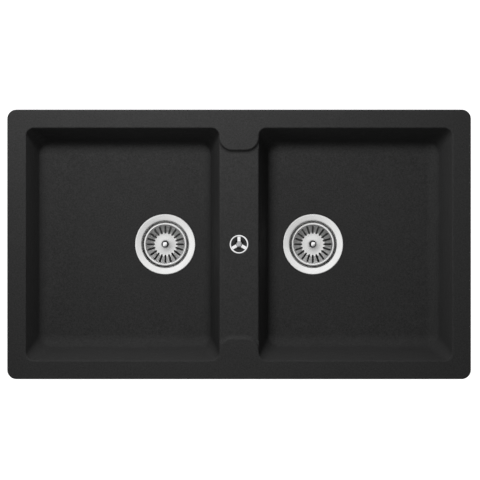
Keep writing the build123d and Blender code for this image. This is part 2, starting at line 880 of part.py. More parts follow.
def overflow_body():
    # Moulded cup under the recess, with arms for the rosette's nut and a threaded outlet.
    bore_r = overflow_pipe_r + slip_gap
    neck_r = overflow_pipe_r - overflow_pipe_wall
    stop = overflow_mouth + overflow_inserted + running_gap
    boss_top = overflow_top - overflow_flange
    with BuildPart() as body:
        with BuildSketch(upright()):
            with BuildLine():
                Polyline(
                    (neck_r, overflow_throat_base),
                    (overflow_throat_r, overflow_throat_base),
                    (overflow_throat_r, overflow_top),
                    (overflow_flange_r, overflow_top),
                    (overflow_flange_r, overflow_top - overflow_flange),
                    (overflow_throat_r + overflow_flange, overflow_top - overflow_flange),
                    (overflow_throat_r + overflow_flange, overflow_throat_base - overflow_flange),
                    (overflow_thread_r, overflow_throat_base - overflow_flange),
                    (overflow_thread_r, overflow_mouth),
                    (bore_r, overflow_mouth),
                    (bore_r, stop),
                    (neck_r, stop),
                    close=True,
                )
            make_face()
        revolve(axis=vertical())
        with BuildSketch(Plane.XY.offset(boss_top)):
            with PolarLocations(overflow_throat_r / 2, spider_arms, start_angle=90):
                Rectangle(overflow_throat_r + overflow_flange, overflow_arm_width)
            Circle(overflow_boss_r)
        extrude(amount=-overflow_boss_depth)
        with BuildSketch(Plane.XY.offset(boss_top)):
            Circle(overflow_screw_r + thread_gap)
        extrude(amount=-overflow_boss_depth, mode=Mode.SUBTRACT)
        with BuildSketch(Plane.XY.offset(overflow_boss_base)):
            RegularPolygon(overflow_nut_flats / 2 + press_gap, 6, major_radius=False)
        extrude(amount=overflow_nut + press_gap, mode=Mode.SUBTRACT)
    return body.part


def overflow_screw_nut():
    with BuildPart() as nut:
        with BuildSketch(Plane.XY.offset(overflow_boss_base)):
            RegularPolygon(overflow_nut_flats / 2, 6, major_radius=False)
            Circle(overflow_screw_r + thread_gap, mode=Mode.SUBTRACT)
        extrude(amount=overflow_nut)
    return nut.part


def overflow_pipe():
    # Rigid pipe down between the bowls and across to the left waste.
    top = (0, 0, overflow_mouth + overflow_inserted)
    end_x = inlet_reach - waste_x - overflow_inserted
    with BuildPart() as pipe:
        with BuildLine():
            drop = Line(top, (0, 0, inlet_z + overflow_bend_r))
            turn = TangentArc(drop @ 1, (-overflow_bend_r, 0, inlet_z), tangent=drop % 1)
            Line(turn @ 1, (end_x, 0, inlet_z))
        with BuildSketch(Plane(origin=top, x_dir=(1, 0, 0), z_dir=(0, 0, -1))):
            Circle(overflow_pipe_r)
            Circle(overflow_pipe_r - overflow_pipe_wall, mode=Mode.SUBTRACT)
        sweep()
    return pipe.part


def overflow_pipe_nuts():
    with BuildPart() as nuts:
        for mouth in (overflow_mouth_plane(), inlet_mouth()):
            add(union_nut(mouth, overflow_thread_r, overflow_pipe_r))
    return nuts.part


def overflow_pipe_washers():
    with BuildPart() as washers:
        for mouth in (overflow_mouth_plane(), inlet_mouth()):
            add(pipe_washer(mouth, overflow_thread_r, overflow_pipe_r))
    return washers.part


os.makedirs("parts", exist_ok=True)

save(sink_basin(), "sink_basin")
save(rim_seal(), "rim_seal")
save(clip_plugs(), "clip_plugs")
save(clip_screws(), "clip_screws")
for spot in clip_spots():
    save(clip_claw(spot), spot[0])
for side, name in side_names.items():
    save(strainer_flange(side), f"{name}_strainer_flange")
    save(flange_gasket(side), f"{name}_flange_gasket")
    save(lower_gasket(side), f"{name}_lower_gasket")
    save(waste_body(side), f"{name}_waste_body")
    save(screw_nut(side), f"{name}_screw_nut")
    save(clamp_screw(side), f"{name}_clamp_screw")
    save(basket(side), f"{name}_basket")
    save(basket_knob(side), f"{name}_basket_knob")
    save(basket_plug(side), f"{name}_basket_plug")
    save(basket_catch(side), f"{name}_basket_catch")
    save(union_nut(outlet_mouth(side), drain_thread_r, drain_pipe_r), f"{name}_outlet_nut")
    save(pipe_washer(outlet_mouth(side), drain_thread_r, drain_pipe_r), f"{name}_outlet_washer")
    save(outlet_elbow(side), f"{name}_outlet_elbow")
save(tee_piece(), "tee_piece")
save(tee_nuts(), "tee_nuts")
save(tee_washers(), "tee_washers")
save(overflow_grate(), "overflow_grate")
save(overflow_screw(), "overflow_screw")
save(overflow_seal(), "overflow_seal")
save(overflow_body(), "overflow_body")
save(overflow_screw_nut(), "overflow_screw_nut")
save(overflow_pipe(), "overflow_pipe")
save(overflow_pipe_nuts(), "overflow_pipe_nuts")
save(overflow_pipe_washers(), "overflow_pipe_washers")
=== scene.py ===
import json
import math
import bpy
from mathutils import Matrix, Vector


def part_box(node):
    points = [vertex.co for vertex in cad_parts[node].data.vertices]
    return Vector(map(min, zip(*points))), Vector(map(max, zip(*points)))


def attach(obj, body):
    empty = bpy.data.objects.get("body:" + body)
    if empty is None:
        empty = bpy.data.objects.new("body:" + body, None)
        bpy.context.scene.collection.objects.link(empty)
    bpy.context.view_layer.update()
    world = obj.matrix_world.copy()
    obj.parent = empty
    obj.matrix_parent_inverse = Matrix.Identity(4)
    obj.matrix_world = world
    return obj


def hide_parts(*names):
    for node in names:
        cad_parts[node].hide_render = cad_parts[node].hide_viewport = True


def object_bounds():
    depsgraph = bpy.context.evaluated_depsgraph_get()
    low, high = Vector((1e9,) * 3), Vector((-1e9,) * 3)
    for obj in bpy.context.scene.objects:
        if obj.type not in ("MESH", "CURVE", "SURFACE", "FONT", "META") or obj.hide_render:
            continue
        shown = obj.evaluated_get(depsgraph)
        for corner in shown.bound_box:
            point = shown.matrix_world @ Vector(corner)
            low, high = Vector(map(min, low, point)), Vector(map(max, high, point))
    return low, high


mm = 0.001
mergeWithin = 0.002 * mm
wasteX = 140.0     # each waste's distance from the middle, in mm

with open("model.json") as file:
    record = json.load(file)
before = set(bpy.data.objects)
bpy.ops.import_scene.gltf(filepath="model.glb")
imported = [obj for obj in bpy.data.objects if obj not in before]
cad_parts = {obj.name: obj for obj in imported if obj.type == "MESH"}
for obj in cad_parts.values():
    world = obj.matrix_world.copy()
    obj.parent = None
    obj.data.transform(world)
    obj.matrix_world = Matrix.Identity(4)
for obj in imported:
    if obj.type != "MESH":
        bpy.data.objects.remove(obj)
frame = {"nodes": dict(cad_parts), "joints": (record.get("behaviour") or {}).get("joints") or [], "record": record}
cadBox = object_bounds()
nodes = frame["nodes"]
print("frame loaded:", len(nodes), "nodes")


# camera

shot = {"distance": 9.0, "width": 0.8902, "aimX": 0.0017, "aimY": 0.0081}   # straight down from far off
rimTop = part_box("sink_basin")[1].z

cameraData = bpy.data.cameras.new("overheadCamera")
cameraData.lens = cameraData.sensor_width * shot["distance"] / shot["width"]
cameraData.clip_end = 50
camera = bpy.data.objects.new("overheadCamera", cameraData)
camera.location = (shot["aimX"], shot["aimY"], rimTop + shot["distance"])
bpy.context.scene.collection.objects.link(camera)
bpy.context.scene.camera = camera
bpy.context.scene.view_settings.view_transform = "Standard"


# tools

def pickNothing():
    bpy.ops.object.select_all(action="DESELECT")


def pick(piece):
    pickNothing()
    piece.select_set(True)
    bpy.context.view_layer.objects.active = piece


def settle(piece):
    pick(piece)
    bpy.ops.object.transform_apply(location=True, rotation=True, scale=True)


def editMode(piece, kind="VERT"):
    pick(piece)
    bpy.ops.object.mode_set(mode="EDIT")
    bpy.ops.mesh.select_mode(type=kind)


def objectMode():
    bpy.ops.object.mode_set(mode="OBJECT")


def selectEdges(piece, wanted):
    # Leaves the piece in edit mode with the edges selected whose two ends the test accepts.
    editMode(piece, "EDGE")
    bpy.ops.mesh.select_all(action="DESELECT")
    objectMode()
    points = piece.data.vertices
    for edge in piece.data.edges:
        edge.select = wanted(points[edge.vertices[0]].co, points[edge.vertices[1]].co)
    bpy.ops.object.mode_set(mode="EDIT")


def applyModifier(piece, modifier):
    pick(piece)
    bpy.ops.object.modifier_apply(modifier=modifier.name)


def drawLine(name, points, at):
    # A plane merged to one point, then extruded along the points, each (across, up) in mm.
    pickNothing()
    start = (at[0] + points[0][0] * mm, at[1], at[2] + points[0][1] * mm)
    bpy.ops.mesh.primitive_plane_add(size=mm, location=start)
    line = bpy.context.object
    line.name = name
    settle(line)
    editMode(line)
    bpy.ops.mesh.select_all(action="SELECT")
    bpy.ops.mesh.merge(type="CENTER")
    for (oldX, oldZ), (newX, newZ) in zip(points, points[1:]):
        step = ((newX - oldX) * mm, 0, (newZ - oldZ) * mm)
        bpy.ops.mesh.extrude_region_move(TRANSFORM_OT_translate={"value": step})
    objectMode()
    return line


def closeUp(piece):
    # Merges doubles, fills holes and turns the faces outwards.
    editMode(piece)
    bpy.ops.mesh.select_all(action="SELECT")
    bpy.ops.mesh.remove_doubles(threshold=mergeWithin)
    bpy.ops.mesh.fill_holes(sides=0)
    bpy.ops.mesh.select_all(action="SELECT")
    bpy.ops.mesh.normals_make_consistent(inside=False)
    objectMode()


def spun(name, points, at, steps, ring=True):
    # Spins a section about the upright line through at. A ring's section is closed first.
    piece = drawLine(name, points + [points[0]] if ring else points, at)
    editMode(piece)
    bpy.ops.mesh.select_all(action="SELECT")
    bpy.ops.mesh.spin(steps=steps, angle=2 * math.pi, center=at, axis=(0, 0, 1))
    objectMode()
    closeUp(piece)
    return piece


def roundBar(name, length, width, height, at, turn=0):
    # A bar with round ends, for slots and arms.
    pickNothing()
    bpy.ops.mesh.primitive_cube_add(size=mm, location=at)
    bar = bpy.context.object
    bar.name = name
    bar.scale = (length, width, height)
    bar.rotation_euler.z = turn
    settle(bar)
    selectEdges(bar, lambda a, b: abs(a.z - b.z) > 0.5 * height * mm)
    bpy.ops.mesh.bevel(offset=0.499 * width * mm, segments=5, affect="EDGES")     # just short of meeting
    objectMode()
    return bar


def copyOf(piece, name, move):
    twin = piece.copy()
    twin.data = piece.data.copy()
    twin.name = name
    twin.data.transform(move)
    bpy.context.scene.collection.objects.link(twin)
    return twin


def turnAbout(at, angle):
    there = Matrix.Translation(at)
    return there @ Matrix.Rotation(angle, 4, "Z") @ there.inverted()


def joined(pieces, name):
    pickNothing()
    for piece in pieces:
        piece.select_set(True)
    bpy.context.view_layer.objects.active = pieces[0]
    bpy.ops.object.join()
    pieces[0].name = name
    return pieces[0]


def ringOf(piece, count, at):
    angles = [2 * math.pi * i / count for i in range(1, count)]
    copies = [copyOf(piece, piece.name + str(i), turnAbout(at, angle)) for i, angle in enumerate(angles, 1)]
    return joined([piece] + copies, piece.name)


def combine(piece, other, operation):
    change = piece.modifiers.new("combine", "BOOLEAN")
    change.operation = operation
    change.solver = "EXACT"
    change.object = other
    applyModifier(piece, change)
    bpy.data.objects.remove(other)


def soften(piece, width, segments, angle=35):
    bevel = piece.modifiers.new("soften", "BEVEL")
    bevel.width = width * mm
    bevel.segments = segments
    bevel.limit_method = "ANGLE"
    bevel.angle_limit = math.radians(angle)
    applyModifier(piece, bevel)


def middleOf(name):
    low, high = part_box(name)
    return (low + high) / 2


# shared effects: each group puts out one value that changes over the surface

def newGroup(name, inputs):
    group = bpy.data.node_groups.new(name, "ShaderNodeTree")
    group.interface.new_socket(name="Vector", in_out="INPUT", socket_type="NodeSocketVector")
    for label, value in inputs.items():
        socket = group.interface.new_socket(name=label, in_out="INPUT", socket_type="NodeSocketFloat")
        socket.default_value = value
    group.interface.new_socket(name="Value", in_out="OUTPUT", socket_type="NodeSocketFloat")
    return group, group.nodes.new("NodeGroupInput"), group.nodes.new("NodeGroupOutput")


def mathNode(tree, operation, first, second=None):
    node = tree.nodes.new("ShaderNodeMath")
    node.operation = operation
    for socket, value in zip(node.inputs, (first, second)):
        if isinstance(value, (int, float)):
            socket.default_value = value
        elif value is not None:
            tree.links.new(value, socket)
    return node.outputs[0]


def mapped(tree, value, fromMin, fromMax, toMin, toMax):
    node = tree.nodes.new("ShaderNodeMapRange")
    for label, number in (("From Min", fromMin), ("From Max", fromMax), ("To Min", toMin), ("To Max", toMax)):
        node.inputs[label].default_value = number
    tree.links.new(value, node.inputs["Value"])
    return node.outputs["Result"]


def noiseNode(tree, vector, scale, detail, distortion=0.0):
    node = tree.nodes.new("ShaderNodeTexNoise")
    node.inputs["Detail"].default_value = detail
    node.inputs["Distortion"].default_value = distortion
    if isinstance(scale, (int, float)):
        node.inputs["Scale"].default_value = scale
    else:
        tree.links.new(scale, node.inputs["Scale"])
    tree.links.new(vector, node.inputs["Vector"])
    return node.outputs["Fac"]


def vectorNode(tree, operation, first, second=None):
    node = tree.nodes.new("ShaderNodeVectorMath")
    node.operation = operation
    tree.links.new(first, node.inputs[0])
    if second is not None:
        node.inputs[1].default_value = second
    return node.outputs["Value" if operation in ("LENGTH", "DOT_PRODUCT") else "Vector"]


def axesOf(tree, vector):
    node = tree.nodes.new("ShaderNodeSeparateXYZ")
    tree.links.new(vector, node.inputs["Vector"])
    return node.outputs["X"], node.outputs["Y"], node.outputs["Z"]


def distanceFrom(tree, place, centre, axes):
    # Distance from a point, given in mm, counted along the axes that are 1.
    apart = vectorNode(tree, "SUBTRACT", place, [value * mm for value in centre])
    return vectorNode(tree, "LENGTH", vectorNode(tree, "MULTIPLY", apart, axes))


def makeGrainGroup():
    # Even grain between Low and High.
    group, given, out = newGroup("fineGrain", {"Scale": 900, "Low": 0.3, "High": 0.7})
    noise = noiseNode(group, given.outputs["Vector"], given.outputs["Scale"], 4)
    spread = group.nodes.new("ShaderNodeMapRange")
    group.links.new(noise, spread.inputs["Value"])
    group.links.new(given.outputs["Low"], spread.inputs["From Min"])
    group.links.new(given.outputs["High"], spread.inputs["From Max"])
    group.links.new(spread.outputs["Result"], out.inputs["Value"])
    return group


spinDrift = 34     # how fast a ring's tone changes along it


def makeSpunGroup():
    # Fine rings about the upright line through the vector's origin, as a lathe or polishing wheel leaves.
    group, given, out = newGroup("spunLines", {"Scale": 2600})
    x, y, z = axesOf(group, given.outputs["Vector"])
    across = distanceFrom(group, given.outputs["Vector"], (0, 0, 0), (1, 1, 0))
    rings = mathNode(group, "MULTIPLY", mathNode(group, "ADD", across, z), given.outputs["Scale"])
    merged = group.nodes.new("ShaderNodeCombineXYZ")
    group.links.new(rings, merged.inputs["X"])
    group.links.new(mathNode(group, "MULTIPLY", x, spinDrift), merged.inputs["Y"])
    group.links.new(mathNode(group, "MULTIPLY", y, spinDrift), merged.inputs["Z"])
    noise = noiseNode(group, merged.outputs["Vector"], 1, 3)
    group.links.new(mapped(group, noise, 0.3, 0.7, 0, 1), out.inputs["Value"])
    return group


scuffMarks = {
    "stretch": (1, 0.16, 0.4), "turn": (0.3, 0.5, 0.6), "thickness": 0.012,
    "patchScale": 22, "patchEdge": (0.5, 0.62),
}


def makeScuffGroup():
    # Sparse thin scratches: narrow bands of a stretched noise, kept only in patches.
    group, given, out = newGroup("scuffs", {"Scale": 60, "Amount": 0.5})
    stretch = group.nodes.new("ShaderNodeMapping")
    stretch.inputs["Scale"].default_value = scuffMarks["stretch"]
    stretch.inputs["Rotation"].default_value = scuffMarks["turn"]
    group.links.new(given.outputs["Vector"], stretch.inputs["Vector"])
    lines = noiseNode(group, stretch.outputs["Vector"], given.outputs["Scale"], 2, 0.6)
    off = mathNode(group, "ABSOLUTE", mathNode(group, "SUBTRACT", lines, 0.5))
    thin = mapped(group, off, 0, scuffMarks["thickness"], 1, 0)
    cloud = noiseNode(group, given.outputs["Vector"], scuffMarks["patchScale"], 2)
    patches = mapped(group, cloud, *scuffMarks["patchEdge"], 0, 1)
    kept = mathNode(group, "MULTIPLY", thin, patches)
    group.links.new(mathNode(group, "MULTIPLY", kept, given.outputs["Amount"]), out.inputs["Value"])
    return group


fineGrain = makeGrainGroup()
spunLines = makeSpunGroup()
scuffs = makeScuffGroup()


# finishes: colours are linear, scales are per metre, a range is the part of a noise that is kept,
# and a bump is its strength and its depth in mm

def newMaterial(name):
    made = bpy.data.materials.new(name)
    made.use_nodes = True
    tree = made.node_tree
    return made, tree, tree.nodes["Principled BSDF"], tree.nodes.new("ShaderNodeTexCoord").outputs["Object"]


def effect(tree, group, vector, **values):
    node = tree.nodes.new("ShaderNodeGroup")
    node.node_tree = group
    tree.links.new(vector, node.inputs["Vector"])
    for label, value in values.items():
        node.inputs[label].default_value = value
    return node.outputs["Value"]


def grained(tree, vector, scale, low=0.3, high=0.7):
    return effect(tree, fineGrain, vector, Scale=scale, Low=low, High=high)


def scuffed(tree, vector, scale, amount):
    return effect(tree, scuffs, vector, Scale=scale, Amount=amount)


def cellNode(tree, vector, scale):
    node = tree.nodes.new("ShaderNodeTexVoronoi")
    node.inputs["Scale"].default_value = scale
    tree.links.new(vector, node.inputs["Vector"])
    return node


def ramp(tree, value, *stops):
    node = tree.nodes.new("ShaderNodeValToRGB")
    colours = node.color_ramp.elements
    while len(colours) < len(stops):
        colours.new(0.5)
    for element, (position, colour) in zip(colours, stops):
        element.position = position
        element.color = (*colour, 1)
    tree.links.new(value, node.inputs["Fac"])
    return node.outputs["Color"]


def tinted(tree, factor, colour, over):
    # One plain colour laid over another by a mask.
    node = tree.nodes.new("ShaderNodeMix")
    node.data_type = "RGBA"
    tree.links.new(factor, node.inputs["Factor"])
    tree.links.new(over, node.inputs[6])            # A, as a colour
    node.inputs[7].default_value = (*colour, 1)     # B, as a colour
    return node.outputs[2]


def darkened(tree, colour, by):
    node = tree.nodes.new("ShaderNodeVectorMath")
    node.operation = "SCALE"
    tree.links.new(colour, node.inputs[0])
    tree.links.new(by, node.inputs["Scale"])
    return node.outputs["Vector"]


def bumped(tree, height, strength, distance, before=None):
    node = tree.nodes.new("ShaderNodeBump")
    node.inputs["Strength"].default_value = strength
    node.inputs["Distance"].default_value = distance * mm
    tree.links.new(height, node.inputs["Height"])
    if before is not None:
        tree.links.new(before, node.inputs["Normal"])
    return node.outputs["Normal"]


def connect(tree, shader, colour, roughness, normal):
    tree.links.new(colour, shader.inputs["Base Color"])
    tree.links.new(roughness, shader.inputs["Roughness"])
    tree.links.new(normal, shader.inputs["Normal"])


granite = {
    "dark": (0.016, 0.016, 0.016), "pale": (0.042, 0.042, 0.042), "fleck": (0.11, 0.11, 0.112),
    "grainScale": 900, "mottleScale": 330, "cloudScale": 38, "fleckScale": 330,
    "grainShare": 0.55, "mottleShare": 0.33, "cloudShare": 0.12,
    "grainRange": (0.3, 0.72), "cloudRange": (0.25, 0.75),
    "fleckEdge": (0.05, 0.11), "fleckAmount": 0.5, "scuffScale": 26, "scuffAmount": 0.12,
    "rough": (0.66, 0.8), "specular": 0.1, "grainBump": (0.3, 0.16), "cloudBump": (0.05, 0.4),
}


def makeGranite():
    # Fine grain over slow clouds, with small pale quartz grains.
    made, tree, shader, place = newMaterial("graniteComposite")
    grain = grained(tree, place, granite["grainScale"], *granite["grainRange"])
    clouds = grained(tree, place, granite["cloudScale"], *granite["cloudRange"])
    mottle = grained(tree, place, granite["mottleScale"])
    blend = mathNode(tree, "MULTIPLY", grain, granite["grainShare"])
    for pattern, share in ((clouds, granite["cloudShare"]), (mottle, granite["mottleShare"])):
        blend = mathNode(tree, "ADD", blend, mathNode(tree, "MULTIPLY", pattern, share))
    base = ramp(tree, blend, (0.1, granite["dark"]), (0.9, granite["pale"]))
    cells = cellNode(tree, place, granite["fleckScale"])
    flecks = mapped(tree, cells.outputs["Distance"], *granite["fleckEdge"], granite["fleckAmount"], 0)
    colour = tinted(tree, flecks, granite["fleck"], base)
    scratch = scuffed(tree, place, granite["scuffScale"], granite["scuffAmount"])
    roughness = mathNode(tree, "SUBTRACT", mapped(tree, clouds, 0, 1, *granite["rough"]), scratch)
    normal = bumped(tree, grain, *granite["grainBump"])
    connect(tree, shader, colour, roughness, bumped(tree, clouds, *granite["cloudBump"], normal))
    shader.inputs["Specular IOR Level"].default_value = granite["specular"]
    return made


steels = {
    "stainless": {
        "colour": (0.96, 0.96, 0.955), "shade": (0.84, 0.84, 0.835), "rough": (0.24, 0.36), "spun": 2400,
        # the basket's wall and floor are painted darker than the steel: painted shade, and the wall is also
        # rougher
        "wallShade": 0.92, "wallRough": 0.18, "floorShade": 0.84,
    },
    "chrome": {
        "colour": (0.97, 0.97, 0.975), "shade": (0.88, 0.88, 0.89), "rough": (0.05, 0.13), "spun": 900,
    },
    "screw": {"colour": (0.5, 0.5, 0.51), "shade": (0.4, 0.4, 0.41), "rough": (0.16, 0.28), "spun": 1600},
}
steelMarks = {
    "smudgeScale": 70, "smudgeRange": (0.35, 0.7), "scuffScale": 120, "scuffAmount": 0.35, "scuffRough": 0.3,
    "ringBump": (0.12, 0.03), "scuffBump": (0.1, 0.02),
}
# heights and radius in mm of the basket's zones that get painted shade
drawn = {
    "floorRadius": 22.6, "floorMiddle": -212.8, "wallFoot": (-213.9, -213.2), "wallTop": (-199.8, -197.8),
}


def roughShadedWall(tree, height):
    # 0 on polished faces, and 1 on the deep-drawn wall between a basket's floor and its bead, which is made
    # rougher and painted darker as painted shade.
    foot = [value * mm for value in drawn["wallFoot"]]
    top = [value * mm for value in drawn["wallTop"]]
    return mathNode(tree, "MINIMUM", mapped(tree, height, *foot, 0, 1), mapped(tree, height, *top, 1, 0))


def paintedShadeFloor(tree, height, across):
    # 1 on a basket's floor and on what lies deeper under it, which is painted darker as painted shade.
    inside = mathNode(tree, "LESS_THAN", across, drawn["floorRadius"] * mm)
    return mathNode(tree, "MULTIPLY", inside, mathNode(tree, "LESS_THAN", height, drawn["floorMiddle"] * mm))


def makeSteel(name, steel, offset):
    # Rings about each waste, or about the overflow: the pattern is the same left and right of the middle.
    made, tree, shader, place = newMaterial(name)
    centred = vectorNode(tree, "SUBTRACT", vectorNode(tree, "ABSOLUTE", place), (offset * mm, 0, 0))
    rings = effect(tree, spunLines, centred, Scale=steel["spun"])
    smudge = grained(tree, place, steelMarks["smudgeScale"], *steelMarks["smudgeRange"])
    scratch = scuffed(tree, place, steelMarks["scuffScale"], steelMarks["scuffAmount"])
    colour = ramp(tree, rings, (0, steel["shade"]), (0.65, steel["colour"]))
    worn = mathNode(tree, "MULTIPLY", mathNode(tree, "ADD", rings, smudge), 0.5)
    rubbed = mathNode(tree, "MULTIPLY", scratch, steelMarks["scuffRough"])
    roughness = mathNode(tree, "ADD", mapped(tree, worn, 0, 1, *steel["rough"]), rubbed)
    if "wallShade" in steel:
        height = axesOf(tree, place)[2]
        wall = roughShadedWall(tree, height)
        floor = paintedShadeFloor(tree, height, distanceFrom(tree, centred, (0, 0, 0), (1, 1, 0)))
        # painted shade: the basket's wall and floor are darkened; the wall is also made rougher below
        for mask, shade in ((wall, steel["wallShade"]), (floor, steel["floorShade"])):
            colour = darkened(tree, colour, mapped(tree, mask, 0, 1, 1, shade))
        roughness = mathNode(tree, "ADD", roughness, mathNode(tree, "MULTIPLY", wall, steel["wallRough"]))
    colour = tinted(tree, scratch, steel["shade"], colour)
    normal = bumped(tree, rings, *steelMarks["ringBump"])
    connect(tree, shader, colour, roughness, bumped(tree, scratch, *steelMarks["scuffBump"], normal))
    shader.inputs["Metallic"].default_value = 1
    return made


zinc = {
    "dark": (0.52, 0.53, 0.55), "pale": (0.66, 0.67, 0.69), "cast": (0.62, 0.58, 0.46),
    "worn": (0.4, 0.4, 0.41), "crystalScale": 420, "cloudScale": 120, "castAmount": 0.3,
    "scuffScale": 200, "scuffAmount": 0.6, "rough": (0.26, 0.5), "bump": (0.12, 0.04),
}


def makeZinc():
    # Zinc plating: pale patches of crystal with a faint yellow passivated cast.
    made, tree, shader, place = newMaterial("zincPlate")
    tone = tree.nodes.new("ShaderNodeSeparateColor")
    tree.links.new(cellNode(tree, place, zinc["crystalScale"]).outputs["Color"], tone.inputs["Color"])
    cloud = grained(tree, place, zinc["cloudScale"])
    scratch = scuffed(tree, place, zinc["scuffScale"], zinc["scuffAmount"])
    plate = ramp(tree, tone.outputs["Red"], (0, zinc["dark"]), (1, zinc["pale"]))
    plate = tinted(tree, mathNode(tree, "MULTIPLY", cloud, zinc["castAmount"]), zinc["cast"], plate)
    colour = tinted(tree, scratch, zinc["worn"], plate)
    roughness = mapped(tree, mathNode(tree, "ADD", tone.outputs["Green"], cloud), 0, 2, *zinc["rough"])
    connect(tree, shader, colour, roughness, bumped(tree, cloud, *zinc["bump"]))
    shader.inputs["Metallic"].default_value = 1
    return made


brass = {
    "dark": (0.62, 0.43, 0.19), "pale": (0.78, 0.57, 0.27), "stain": (0.38, 0.25, 0.12),
    "lineScale": 3200, "lineStretch": (0.1, 0.1, 1),
    "stainScale": 260, "stainRange": (0.5, 0.75), "stainAmount": 0.5,
    "rough": (0.22, 0.5), "bump": (0.2, 0.03),
}


def makeBrass():
    # Turned brass: flat tooling rings with a brown stain in patches.
    made, tree, shader, place = newMaterial("turnedBrass")
    tooling = tree.nodes.new("ShaderNodeMapping")
    tooling.inputs["Scale"].default_value = brass["lineStretch"]
    tree.links.new(place, tooling.inputs["Vector"])
    lines = grained(tree, tooling.outputs["Vector"], brass["lineScale"])
    stain = grained(tree, place, brass["stainScale"], *brass["stainRange"])
    turned = ramp(tree, lines, (0, brass["dark"]), (1, brass["pale"]))
    colour = tinted(tree, mathNode(tree, "MULTIPLY", stain, brass["stainAmount"]), brass["stain"], turned)
    roughness = mapped(tree, mathNode(tree, "ADD", lines, stain), 0, 2, *brass["rough"])
    connect(tree, shader, colour, roughness, bumped(tree, lines, *brass["bump"]))
    shader.inputs["Metallic"].default_value = 1
    return made


plastics = {
    "body_plastic": {
        "name": "mouldedWhite", "pale": (0.74, 0.74, 0.72), "dark": (0.66, 0.66, 0.635),
        "rough": (0.42, 0.58), "grain": 1500,
    },
    "pipe_plastic": {
        "name": "pipeWhite", "pale": (0.77, 0.77, 0.755), "dark": (0.71, 0.71, 0.69),
        "rough": (0.24, 0.38), "grain": 500,
        # bore: a near-black colour painted inside the pipe, as painted shade
        "bore": {"radius": 9.8, "bend": 30.0, "bendTop": -200.0, "film": (0.02, 0.02, 0.018)},
    },
    "nut_plastic": {
        "name": "nutWhite", "pale": (0.7, 0.7, 0.69), "dark": (0.61, 0.61, 0.595),
        "rough": (0.38, 0.55), "grain": 2000,
    },
    "clip_plastic": {
        "name": "blackNylon", "pale": (0.06, 0.06, 0.06), "dark": (0.035, 0.035, 0.036),
        "rough": (0.35, 0.55), "grain": 1800,
    },
    "black_plastic": {
        "name": "mouldedBlack", "pale": (0.034, 0.034, 0.034), "dark": (0.022, 0.022, 0.0225),
        "rough": (0.4, 0.58), "grain": 1500,
    },
}
plasticMarks = {
    "flowScale": 26, "grainShare": 0.3, "flowShare": 0.7, "scuffScale": 90, "scuffAmount": 0.5,
    "scuffRough": 0.2, "grainBump": (0.14, 0.05), "flowBump": (0.06, 0.5),
}


def borePaintedShade(tree, place, bore):
    # Painted shade inside the overflow pipe, down its upright run and round its bend to the left: a near-black
    # colour where the inside of the pipe lies in shade.
    bend, top = bore["bend"], bore["bendTop"]
    x, y, z = axesOf(tree, place)
    across = distanceFrom(tree, place, (0, 0, 0), (1, 1, 0))
    upright = mathNode(tree, "LESS_THAN", across, bore["radius"] * mm)
    upright = mathNode(tree, "MULTIPLY", upright, mathNode(tree, "GREATER_THAN", z, top * mm))
    off = mathNode(tree, "SUBTRACT", distanceFrom(tree, place, (-bend, 0, top), (1, 0, 1)), bend * mm)
    squares = mathNode(tree, "ADD", mathNode(tree, "MULTIPLY", off, off), mathNode(tree, "MULTIPLY", y, y))
    turned = mathNode(tree, "LESS_THAN", mathNode(tree, "SQRT", squares), bore["radius"] * mm)
    turned = mathNode(tree, "MULTIPLY", turned, mathNode(tree, "GREATER_THAN", x, -bend * mm))
    return mathNode(tree, "MAXIMUM", upright, turned)


def makePlastic(plastic):
    # Moulded plastic: cloudy flow marks, a fine spark-eroded grain and a few rubs.
    made, tree, shader, place = newMaterial(plastic["name"])
    grain = grained(tree, place, plastic["grain"])
    flow = noiseNode(tree, place, plasticMarks["flowScale"], 2, 1.2)
    fine = mathNode(tree, "MULTIPLY", grain, plasticMarks["grainShare"])
    tone = mathNode(tree, "ADD", fine, mathNode(tree, "MULTIPLY", flow, plasticMarks["flowShare"]))
    scratch = scuffed(tree, place, plasticMarks["scuffScale"], plasticMarks["scuffAmount"])
    colour = ramp(tree, tone, (0.25, plastic["dark"]), (0.75, plastic["pale"]))
    colour = tinted(tree, scratch, plastic["dark"], colour)
    if "bore" in plastic:
        # painted shade: the inside of the pipe's bore is coloured near black
        colour = tinted(tree, borePaintedShade(tree, place, plastic["bore"]), plastic["bore"]["film"], colour)
    rubbed = mathNode(tree, "MULTIPLY", scratch, plasticMarks["scuffRough"])
    roughness = mathNode(tree, "ADD", mapped(tree, tone, 0.2, 0.8, *plastic["rough"]), rubbed)
    normal = bumped(tree, grain, *plasticMarks["grainBump"])
    connect(tree, shader, colour, roughness, bumped(tree, flow, *plasticMarks["flowBump"], normal))
    return made


rubber = {
    "dark": (0.018, 0.018, 0.018), "pale": (0.032, 0.032, 0.032), "bloom": (0.09, 0.088, 0.085),
    "grainScale": 1600, "bloomScale": 90, "bloomRange": (0.45, 0.8), "bloomAmount": 0.6,
    "rough": (0.55, 0.85), "bump": (0.3, 0.08),
}


def makeRubber():
    # Black rubber with a pale bloom in patches.
    made, tree, shader, place = newMaterial("blackRubber")
    grain = grained(tree, place, rubber["grainScale"])
    bloom = grained(tree, place, rubber["bloomScale"], *rubber["bloomRange"])
    dusted = mathNode(tree, "MULTIPLY", mathNode(tree, "MULTIPLY", grain, bloom), rubber["bloomAmount"])
    black = ramp(tree, grain, (0, rubber["dark"]), (1, rubber["pale"]))
    colour = tinted(tree, dusted, rubber["bloom"], black)
    roughness = mapped(tree, bloom, 0, 1, *rubber["rough"])
    connect(tree, shader, colour, roughness, bumped(tree, grain, *rubber["bump"]))
    return made


foam = {
    "pale": (0.085, 0.085, 0.09), "dark": (0.045, 0.045, 0.048), "cellScale": 1300, "unevenScale": 300,
    "rough": (0.82, 0.96), "cellBump": (0.6, 0.25), "unevenBump": (0.3, 0.3),
}


